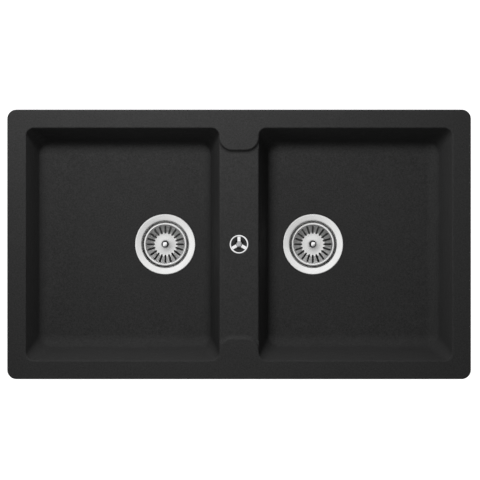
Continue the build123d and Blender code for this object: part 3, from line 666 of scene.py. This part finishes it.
def makeFoam():
    # Closed-cell foam: small cells with dark edges.
    made, tree, shader, place = newMaterial("greyFoam")
    cells = cellNode(tree, place, foam["cellScale"])
    uneven = grained(tree, place, foam["unevenScale"])
    colour = ramp(tree, cells.outputs["Distance"], (0.1, foam["pale"]), (0.7, foam["dark"]))
    roughness = mapped(tree, uneven, 0, 1, *foam["rough"])
    normal = bumped(tree, mathNode(tree, "SUBTRACT", 1, cells.outputs["Distance"]), *foam["cellBump"])
    connect(tree, shader, colour, roughness, bumped(tree, uneven, *foam["unevenBump"], normal))
    return made


duskyScrew = makeSteel("duskyScrew", steels["screw"], 0)

finishes = {
    "granite": makeGranite(),
    "stainless": makeSteel("polishedStainless", steels["stainless"], wasteX),
    "chrome": makeSteel("brightChrome", steels["chrome"], 0),
    "zinc_steel": makeZinc(),
    "brass": makeBrass(),
    "rubber": makeRubber(),
    "foam": makeFoam(),
}
for slot, plastic in plastics.items():
    finishes[slot] = makePlastic(plastic)

slotOf = {part["node"]: part["material_slot"] for part in frame["record"]["subparts"]}
for name, node in nodes.items():
    node.data.materials.clear()
    node.data.materials.append(finishes[slotOf[name]])
print("finishes ready:", len(finishes))


def finished(piece, body, node, smooth=35):
    # Shading, finish and place in the frame. The node that it stands for gives its finish.
    pick(piece)
    bpy.ops.object.shade_smooth_by_angle(angle=math.radians(smooth))
    slot = slotOf[node]
    piece.data.materials.clear()
    piece.data.materials.append(finishes[slot])
    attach(piece, body)


# ledge coves: the casting's hollow fillet between each ledge and the recess

ledge = {
    "tip": 174.0, "cornerFrom": 12.0, "corner": 25.0, "reach": 6.5, "rise": 5.0, "below": 3.0, "into": 0.5,
    "steps": 8, "turns": 18, "end": 36.4, "round": 1.0, "roundFrom": 0.2,
}
trimmer = {"depth": 100, "height": 20}     # the block that cuts the coves' ends off square
deck = 1 * mm     # the top of the recess between the ledges


def makeCove(name):
    # The back one. The section is drawn beside the right corner, and swept round to the left one.
    arc = [math.radians(90 * i / ledge["steps"]) for i in range(ledge["steps"] + 1)]
    near, reach, rise = ledge["corner"], ledge["reach"], ledge["rise"]
    section = [(near + reach - reach * math.cos(a), rise - rise * math.sin(a)) for a in arc]
    foot, back = -ledge["below"], near - ledge["into"]
    section += [(near + reach, foot), (back, foot), (back, rise), section[0]]
    centre = Vector((ledge["cornerFrom"] * mm, (ledge["tip"] + ledge["corner"]) * mm, deck))
    cove = drawLine(name, section, centre)
    editMode(cove)
    bpy.ops.mesh.select_all(action="SELECT")
    quarter = {"steps": ledge["turns"], "angle": math.radians(90), "axis": (0, 0, 1)}
    bpy.ops.mesh.spin(center=centre, **quarter)
    bpy.ops.mesh.extrude_region_move(TRANSFORM_OT_translate={"value": (-2 * centre.x, 0, 0)})
    bpy.ops.mesh.spin(center=(-centre.x, centre.y, deck), **quarter)
    objectMode()
    closeUp(cove)
    pickNothing()
    bpy.ops.mesh.primitive_cube_add(size=mm, location=(0, centre.y, deck))
    block = bpy.context.object
    block.scale = (2 * ledge["end"], trimmer["depth"], trimmer["height"])
    settle(block)
    combine(cove, block, "INTERSECT")
    edgeX, edgeZ = (ledge["end"] - 0.01) * mm, deck + ledge["roundFrom"] * mm
    selectEdges(cove, lambda a, b: min(abs(a.x), abs(b.x)) > edgeX and min(a.z, b.z) > edgeZ)
    bpy.ops.mesh.bevel(offset=ledge["round"] * mm, segments=3, affect="EDGES", clamp_overlap=True)
    objectMode()
    return cove


backCove = makeCove("backLedgeCove")
frontCove = copyOf(backCove, "frontLedgeCove", Matrix.Rotation(math.pi, 4, "Z"))
for piece in (backCove, frontCove):
    finished(piece, "sink", "sink_basin", 50)
print("ledge coves ready")


# strainer flange: a pressed rim that dips towards its mouth, and a stepped cup with water slots

flange = {
    "section": [
        (3.3, -38.0), (9.2, -38.0), (9.9, -37.75), (10.6, -38.0), (36.6, -38.0), (39.5, -37.5),
        (41.7, -36.0), (42.6, -34.0), (42.8, -31.5), (42.8, -10.4), (42.9, -10.0), (43.3, -9.8),
        (43.4, -9.5), (43.4, -6.2), (43.5, -5.6), (44.6, -5.0), (44.85, -4.5), (44.9, -4.0),
        (44.95, -1.7), (45.0, -1.35), (45.15, -1.1), (45.45, -0.95), (46.6, -0.8), (50.0, -0.5),
        (54.5, -0.12), (56.0, 0.0), (56.8, -0.08), (57.3, -0.4), (57.5, -0.8), (57.4, -1.1), (57.1, -1.2),
        (46.7, -1.25), (45.8, -1.6), (45.45, -2.2), (45.4, -5.2), (44.8, -6.1), (44.0, -10.2),
        (43.4, -10.9), (43.4, -33.0), (42.6, -36.2), (40.4, -38.3), (37.0, -39.2), (3.3, -39.2),
    ],
    "steps": 120,
    "slots": 8, "slotLength": 18.0, "slotWidth": 7.0, "slotHeight": 3, "slotMiddle": (21.0, -38.6),
}


def makeSlotted(name, node, form):
    # A spun ring in the node's place, cut through by a circle of round-ended slots.
    at = middleOf(node)
    at.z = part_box(node)[1].z
    piece = spun(name, form["section"], at, form["steps"])
    out, down = form["slotMiddle"]
    deep = at + Vector((out * mm, 0, down * mm))
    slot = roundBar("slot", form["slotLength"], form["slotWidth"], form["slotHeight"], deep)
    combine(piece, ringOf(slot, form["slots"], at), "DIFFERENCE")
    return piece


def makeFlange(side):
    return makeSlotted(side + "StrainerFlange", side + "_strainer_flange", flange)


# basket: a rolled bead, a sloping wall with twenty slots and a flat floor that the slots leave toothed

basket = {
    "section": [
        (3.1, -17.0), (6.6, -17.05), (8.0, -17.18), (10.5, -17.52), (13.0, -17.8), (16.0, -17.97),
        (22.2, -18.0), (23.0, -17.8), (23.6, -17.3), (24.2, -16.7), (36.2, -5.2), (36.5, -4.7),
        (36.6, -4.0), (36.6, -1.2), (36.75, -0.6), (37.1, -0.2), (37.7, -0.02), (38.6, 0.0),
        (39.6, -0.04), (40.3, -0.3), (40.8, -0.9), (41.1, -1.7), (41.4, -2.4), (41.5, -3.0), (41.2, -3.5),
        (40.7, -3.2), (40.2, -2.2), (39.7, -1.2), (39.0, -0.9), (38.2, -0.95), (37.6, -1.3), (37.5, -4.2),
        (37.2, -5.3), (36.8, -5.9), (24.8, -17.5), (24.0, -18.3), (23.2, -18.75), (22.3, -18.9),
        (19.4, -18.9), (16.4, -18.75), (13.0, -18.45), (9.5, -18.15), (6.6, -17.95), (3.1, -17.9),
    ],
    "steps": 160,
    "slots": 20, "slotLength": 15.6, "slotWidth": 3.6, "slotHeight": 17, "slotMiddle": (27.7, -11.5),
}


def makeBasket(side):
    return makeSlotted(side + "Basket", side + "_basket", basket)


# knob: a slightly flattened ball on a waisted neck, with a collar on the basket's floor

knob = {
    "section": [
        (0, -15.6), (2.6, -15.6), (3.0, -15.2), (3.0, 0.0), (6.4, 0.0), (6.6, 0.25), (6.5, 0.7),
        (5.6, 1.1), (4.3, 1.6), (3.7, 2.5), (3.5, 3.5), (3.8, 4.4), (4.8, 5.3), (5.9, 6.0), (6.9, 6.9),
        (7.5, 7.9), (7.85, 9.0), (7.9, 9.8), (7.85, 10.5), (7.65, 11.1), (7.25, 11.65), (6.65, 12.2),
        (5.9, 12.75), (5.1, 13.2), (4.35, 13.55), (3.7, 13.8), (3.0, 13.98), (2.0, 14.16), (1.0, 14.27),
        (0, 14.3),
    ],
    "steps": 48, "seat": -17.05,
}


def makeKnob(side):
    at = middleOf(side + "_basket_knob")
    at.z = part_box(side + "_basket")[1].z + knob["seat"] * mm     # the raised middle of the basket's floor
    return spun(side + "BasketKnob", knob["section"], at, knob["steps"], ring=False)


for side in ("left", "right"):
    assembly = side + "_basket_assembly"
    for make, node, body in (
        (makeFlange, side + "_strainer_flange", "sink"),
        (makeBasket, side + "_basket", assembly),
        (makeKnob, side + "_basket_knob", assembly),
    ):
        piece = make(side)
        finished(piece, body, node)
        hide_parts(node)
print("strainers ready")


# overflow rosette: a round bead with a skirt, three arms a little lower, and a hub under the screw's head

rosette = {
    "bead": [
        (17.7, 0.0), (17.7, 1.3), (17.58, 1.85), (17.25, 2.25), (16.7, 2.45), (16.0, 2.5), (15.3, 2.45),
        (14.8, 2.25), (14.45, 1.85), (14.3, 1.3), (14.3, 0.0), (13.85, -0.6), (13.8, -5.0), (14.7, -5.0),
        (14.7, 0.0),
    ],
    "hub": [(2.3, 0.1), (5.2, 0.1), (5.6, 0.5), (5.7, 1.0), (5.7, 2.0), (5.55, 2.35), (5.2, 2.5), (2.3, 2.5)],
    "steps": 96, "hubSteps": 48, "height": 2.5, "arms": 3, "armLength": 10.6, "armMiddle": 9.6,
    "armWidth": 6.4, "armHeight": 1.5, "armTop": 1.9, "armEdge": 0.7,
}
rosetteScrew = {
    "section": [
        (0, -26.0), (1.6, -26.0), (2.0, -25.5), (2.0, 0.0), (5.3, 0.0), (5.6, 0.3), (5.55, 0.7),
        (5.1, 1.2), (4.2, 1.6), (2.6, 1.8), (0, 1.85),
    ],
    "steps": 48, "headHeight": 1.85, "crossLength": 9.0, "crossWidth": 2.0, "crossDepth": 1.6,
}
crossOver = 0.3     # a cross is cut from this far outside the screw's head
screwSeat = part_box("overflow_grate")[1].z
rosetteFoot = screwSeat - rosette["height"] * mm


def makeRosette():
    at = Vector((0, 0, rosetteFoot))
    piece = spun("overflowRosette", rosette["bead"], at, rosette["steps"])
    middle = at + Vector((rosette["armMiddle"] * mm, 0, (rosette["armTop"] - rosette["armHeight"] / 2) * mm))
    pickNothing()
    bpy.ops.mesh.primitive_cube_add(size=mm, location=middle)
    arm = bpy.context.object
    arm.name = "arm"
    arm.scale = (rosette["armLength"], rosette["armWidth"], rosette["armHeight"])
    settle(arm)
    halfArm = rosette["armLength"] / 2 * mm
    selectEdges(arm, lambda a, b: abs(a.x - b.x) > halfArm and min(a.z, b.z) > middle.z)
    bpy.ops.mesh.bevel(offset=rosette["armEdge"] * mm, segments=3, affect="EDGES")
    objectMode()
    arm.data.transform(turnAbout(at, math.radians(90)))
    combine(piece, ringOf(arm, rosette["arms"], at), "UNION")
    combine(piece, spun("hub", rosette["hub"], at, rosette["hubSteps"]), "UNION")
    return piece


def cutCross(piece, screw, middle, turns):
    # Two crossed recesses in a screw's head.
    for turn in turns:
        height = screw["crossDepth"] + 2 * crossOver
        bar = roundBar("cross", screw["crossLength"], screw["crossWidth"], height, middle, math.radians(turn))
        combine(piece, bar, "DIFFERENCE")


def makeRosetteScrew():
    at = Vector((0, 0, screwSeat))
    piece = spun("rosetteScrew", rosetteScrew["section"], at, rosetteScrew["steps"], ring=False)
    up = rosetteScrew["headHeight"] + crossOver - rosetteScrew["crossDepth"] / 2
    cutCross(piece, rosetteScrew, at + Vector((0, 0, up * mm)), (45, 135))
    return piece


for make, node in ((makeRosette, "overflow_grate"), (makeRosetteScrew, "overflow_screw")):
    piece = make()
    finished(piece, "sink", node)
    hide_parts(node)
piece.data.materials[0] = duskyScrew     # the screw, duller than the chrome round it
print("overflow rosette ready")


# clips: a bent strip with a toothed hook, turned and set at each screw

clip = {
    "side": [
        (-8.0, 5.0), (-8.0, 1.4), (-7.6, 0.5), (-6.8, 0.0), (19.7, 0.0), (20.6, 0.4), (21.0, 1.3),
        (21.0, 10.0), (19.0, 10.0), (19.0, 3.0), (18.7, 2.3), (18.0, 2.0), (-5.0, 2.0), (-5.7, 2.3),
        (-6.0, 3.0), (-6.0, 5.0),
    ],
    "width": 14.0, "edge": 0.3, "corner": 1.6, "tipsAbove": 4.0, "hook": (20, 10),
    "hole": 2.6, "holeSteps": 32, "holeReach": (-1, 3),
    "notches": 3, "notchStep": 4.6, "notchWidth": 3.4, "notchDepth": 2.4, "notchLength": 6,
}
clipTurns = {"clip_back": 0, "clip_front": 180, "clip_left": 90, "clip_right": -90}     # how each is parked


def makeNotches():
    pickNothing()
    bpy.ops.mesh.primitive_cube_add(size=mm, rotation=(math.radians(45), 0, 0))
    notch = bpy.context.object
    notch.name = "notch"
    settle(notch)
    diagonal = math.sqrt(2)
    notch.scale = (clip["notchLength"], clip["notchWidth"] / diagonal, 2 * clip["notchDepth"] / diagonal)
    notch.location = (clip["hook"][0] * mm, -clip["notchStep"] * mm, clip["hook"][1] * mm)
    settle(notch)
    step = Matrix.Translation((0, clip["notchStep"] * mm, 0))
    copies = [notch]
    while len(copies) < clip["notches"]:
        copies.append(copyOf(copies[-1], "notch" + str(len(copies)), step))
    return joined(copies, "notches")


def atTips(a, b):
    # The upper edges of both bent ends, where they run through the strip's thickness.
    across = abs(a.x - b.x) > mm and abs(a.y - b.y) < mm and abs(a.z - b.z) < 0.1 * mm
    return across and a.z > clip["tipsAbove"] * mm


def makeClip():
    # At the world's centre and pointing along x. Copies are then turned and moved to their screws.
    piece = drawLine("clip", clip["side"] + [clip["side"][0]], (0, -clip["width"] / 2 * mm, 0))
    closeUp(piece)
    editMode(piece)
    bpy.ops.mesh.select_all(action="SELECT")
    bpy.ops.mesh.extrude_region_move(TRANSFORM_OT_translate={"value": (0, clip["width"] * mm, 0)})
    objectMode()
    closeUp(piece)
    selectEdges(piece, atTips)
    bpy.ops.mesh.bevel(offset=clip["corner"] * mm, segments=3, affect="EDGES")
    objectMode()
    combine(piece, makeNotches(), "DIFFERENCE")
    soften(piece, clip["edge"], 1)
    radius, (low, high) = clip["hole"], clip["holeReach"]
    section = [(0, low), (radius, low), (radius, high), (0, high)]
    combine(piece, spun("hole", section, (0, 0, 0), clip["holeSteps"], ring=False), "DIFFERENCE")
    return piece


firstClip = makeClip()
screwSpots = []
for joint in frame["joints"]:
    if joint["type"] != "hinge":
        continue
    node = joint["name"].removesuffix("_swing")
    turn = next(angle for start, angle in clipTurns.items() if node.startswith(start))
    x, y, z = joint["pos_m"]
    place = Matrix.Translation((x, y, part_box(node)[0].z)) @ Matrix.Rotation(math.radians(turn), 4, "Z")
    piece = copyOf(firstClip, "fixingClip" + node[4:].title().replace("_", ""), place)
    finished(piece, joint["child"], node)
    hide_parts(node)
    screwSpots.append((x, y))
bpy.data.objects.remove(firstClip)
print("clips ready:", len(screwSpots))


# clip screws: a cross head underneath and a rolled thread up into the plug

clipScrew = {
    "section": [
        (0, -3.5), (3.4, -3.5), (4.3, -3.3), (4.85, -2.75), (5.0, -2.0), (5.0, -0.4), (4.8, 0.0),
        (2.1, 0.0), (2.1, 51.3), (0, 51.3),
    ],
    "steps": 32, "headHeight": 3.5, "crossLength": 7.0, "crossWidth": 1.5, "crossDepth": 1.8,
    "core": 2.1, "radius": 2.5, "pitch": 1.0, "turns": 38, "bottom": 0.4, "threadSteps": 16,
}
ridgeForm = {"sunk": 0.15, "crestFrom": 0.38, "crestTo": 0.52, "end": 0.9}     # sunk is in mm, not pitches


def makeThread(name, thread):
    # A ridge that climbs round the world's upright axis, closed at both ends.
    bottom, pitch = thread["bottom"], thread["pitch"]
    root, crest = thread["core"] - ridgeForm["sunk"], thread["radius"]
    ridge = [
        (root, bottom), (crest, bottom + ridgeForm["crestFrom"] * pitch),
        (crest, bottom + ridgeForm["crestTo"] * pitch), (root, bottom + ridgeForm["end"] * pitch),
        (root, bottom),
    ]
    piece = drawLine(name, ridge, (0, 0, 0))
    editMode(piece)
    bpy.ops.mesh.select_all(action="SELECT")
    bpy.ops.mesh.remove_doubles(threshold=mergeWithin)
    objectMode()
    climb = piece.modifiers.new("climb", "SCREW")
    climb.axis = "Z"
    climb.steps = climb.render_steps = thread["threadSteps"]
    climb.screw_offset = pitch * mm
    climb.iterations = thread["turns"]
    climb.use_merge_vertices = False
    applyModifier(piece, climb)
    closeUp(piece)
    return piece


def makeClipScrews():
    screw = spun("clipScrew", clipScrew["section"], (0, 0, 0), clipScrew["steps"], ring=False)
    combine(screw, makeThread("thread", clipScrew), "UNION")
    down = -clipScrew["headHeight"] - crossOver + clipScrew["crossDepth"] / 2
    cutCross(screw, clipScrew, (0, 0, down * mm), (0, 90))
    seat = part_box("clip_screws")[0].z + clipScrew["headHeight"] * mm
    screws = []
    for x, y in screwSpots:
        screws.append(copyOf(screw, "screw" + str(len(screws)), Matrix.Translation((x, y, seat))))
    bpy.data.objects.remove(screw)
    return joined(screws, "clipScrews")


piece = makeClipScrews()
finished(piece, "sink", "clip_screws")
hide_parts("clip_screws")


# outlet threads: the moulded thread that shows between each waste body and its nut

outletThread = {"core": 23.9, "radius": 24.9, "pitch": 2.6, "turns": 2, "bottom": -270.0, "threadSteps": 64}

for side, way in (("left", -1), ("right", 1)):
    piece = makeThread(side + "OutletThread", outletThread)
    piece.data.transform(Matrix.Translation((way * wasteX * mm, 0, 0)))
    finished(piece, "sink", side + "_waste_body")
print("screws and threads ready")


# foam strip: a soft bead that runs round under the rim

foamStrip = {"corner": 7.9, "cornerSteps": 10, "width": 7.8, "round": 0.85, "roundSteps": 3}


def makeFoamStrip():
    low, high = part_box("rim_seal")
    pickNothing()
    bpy.ops.mesh.primitive_plane_add(size=1, location=(0, 0, low.z))
    strip = bpy.context.object
    strip.name = "rimFoamStrip"
    strip.scale = (high.x - low.x, high.y - low.y, 1)
    settle(strip)
    editMode(strip)
    bpy.ops.mesh.select_all(action="SELECT")
    bpy.ops.mesh.bevel(offset=foamStrip["corner"] * mm, segments=foamStrip["cornerSteps"], affect="VERTICES")
    bpy.ops.mesh.select_all(action="SELECT")
    bpy.ops.mesh.select_mode(type="FACE")
    bpy.ops.mesh.inset(thickness=foamStrip["width"] * mm)
    bpy.ops.mesh.delete(type="FACE")
    bpy.ops.mesh.select_all(action="SELECT")
    bpy.ops.mesh.extrude_region_move(TRANSFORM_OT_translate={"value": (0, 0, high.z - low.z)})
    objectMode()
    closeUp(strip)
    soften(strip, foamStrip["round"], foamStrip["roundSteps"])
    return strip


piece = makeFoamStrip()
finished(piece, "sink", "rim_seal", 60)
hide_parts("rim_seal")
print("foam strip ready")


# light: soft lamps over the sink and behind its left end, and a weak one from the front

lamps = {
    "window": {"at": (-0.28, 0.85, 0.55), "size": 0.35, "watts": 13.4},
    "ceiling": {"at": (0, 0, 1.1), "size": 0.8, "watts": 4.8},
    "frontFill": {"at": (0.3, -2.4, 0.5), "size": 1.0, "watts": 1.4},
}
gleam = {"at": (0, 0.95, 0.05), "size": 1.2, "watts": 14}     # low light from behind, on the baskets alone
floorSun = {"watts": 2.0, "spread": 5, "height": 2}     # straight down, so the shadow lies under the sink
lampAim = (0, 0, -0.1)
backdrop = {
    "fill": 0.06, "gloss": 0.92, "swing": 1.5, "towards": (-0.6, 0.8, 0), "shade": 0.24,
    "horizon": 0.35, "horizonAt": (0.1, 0.7), "second": 0.78,
}
paleFloor = {"span": 6.0, "colour": (0.9, 0.9, 0.9, 1), "rough": 0.9, "glow": 0.55}


def addLight(name, data, at, aim, lights, gleams=False):
    light = bpy.data.objects.new(name, data)
    light.location = at
    light.rotation_euler = (Vector(aim) - Vector(at)).to_track_quat("-Z", "Y").to_euler()
    light.light_linking.receiver_collection = lights
    light.visible_glossy = gleams
    bpy.context.scene.collection.objects.link(light)


def makeLamp(name, lamp, lights, gleams=False):
    data = bpy.data.lights.new(name, "AREA")
    data.shape = "SQUARE"
    data.size = lamp["size"]
    data.energy = lamp["watts"]
    data.use_shadow = False     # the photograph has no shadows down in the bowls
    addLight(name, data, lamp["at"], lampAim, lights, gleams)


def makeSun(lights):
    data = bpy.data.lights.new("floorSun", "SUN")
    data.energy = floorSun["watts"]
    data.angle = math.radians(floorSun["spread"])
    addLight("floorSun", data, (0, 0, floorSun["height"]), (0, 0, 0), lights)


def makeWorld():
    # White to the camera. Metal sees it bright overhead and towards the window, and dimmer round about.
    world = bpy.data.worlds.new("studio")
    world.use_nodes = True
    tree = world.node_tree
    path = tree.nodes.new("ShaderNodeLightPath")
    direction = tree.nodes.new("ShaderNodeTexCoord").outputs["Generated"]
    along = vectorNode(tree, "DOT_PRODUCT", direction, backdrop["towards"])
    lean = mathNode(tree, "ADD", mathNode(tree, "MULTIPLY", along, backdrop["swing"]), backdrop["gloss"])
    lean = mathNode(tree, "MINIMUM", mathNode(tree, "MAXIMUM", lean, backdrop["shade"]), 1)
    height = mapped(tree, axesOf(tree, direction)[2], *backdrop["horizonAt"], backdrop["horizon"], 1)
    mirrored = mathNode(tree, "MULTIPLY", lean, height)
    # Steel throws no glow on the granite, and a second mirror image is dimmer than the first.
    direct = mathNode(tree, "LESS_THAN", path.outputs["Diffuse Depth"], 0.5)
    first = mapped(tree, path.outputs["Glossy Depth"], 1, 2, 1, backdrop["second"])
    shiny = mathNode(tree, "MULTIPLY", mathNode(tree, "MULTIPLY", direct, first), mirrored)
    shiny = mathNode(tree, "MULTIPLY", path.outputs["Is Glossy Ray"], shiny)
    strength = mathNode(tree, "MAXIMUM", path.outputs["Is Camera Ray"], path.outputs["Is Transmission Ray"])
    strength = mathNode(tree, "MAXIMUM", mathNode(tree, "MAXIMUM", strength, shiny), backdrop["fill"])
    background = tree.nodes["Background"]
    background.inputs["Color"].default_value = (1, 1, 1, 1)
    tree.links.new(strength, background.inputs["Strength"])
    bpy.context.scene.world = world


def makeFloor():
    pickNothing()
    bpy.ops.mesh.primitive_plane_add(size=paleFloor["span"], location=(0, 0, cadBox[0].z))
    floor = bpy.context.object
    floor.name = "paleFloor"
    settle(floor)
    made, tree, shader, place = newMaterial("palePaper")
    shader.inputs["Base Color"].default_value = paleFloor["colour"]
    shader.inputs["Roughness"].default_value = paleFloor["rough"]
    path = tree.nodes.new("ShaderNodeLightPath")
    seen = mathNode(tree, "MAXIMUM", path.outputs["Is Camera Ray"], path.outputs["Is Glossy Ray"])
    seen = mathNode(tree, "MAXIMUM", seen, path.outputs["Is Transmission Ray"])
    tree.links.new(mathNode(tree, "MULTIPLY", seen, paleFloor["glow"]), shader.inputs["Emission Strength"])
    shader.inputs["Emission Color"].default_value = (1, 1, 1, 1)
    floor.data.materials.append(made)
    return floor


floor = makeFloor()
onlyFloor = bpy.data.collections.new("onlyFloor")
onlyFloor.objects.link(floor)
allButFloor = bpy.data.collections.new("allButFloor")
allButFloor.objects.link(floor)
allButFloor.collection_objects[0].light_linking.link_state = "EXCLUDE"
for name, lamp in lamps.items():
    makeLamp(name, lamp, allButFloor)
onlyBaskets = bpy.data.collections.new("onlyBaskets")
for name in ("leftBasket", "rightBasket"):
    onlyBaskets.objects.link(bpy.data.objects[name])
makeLamp("gleam", gleam, onlyBaskets, True)
makeSun(onlyFloor)
makeWorld()
print("floor, lamps and world ready")
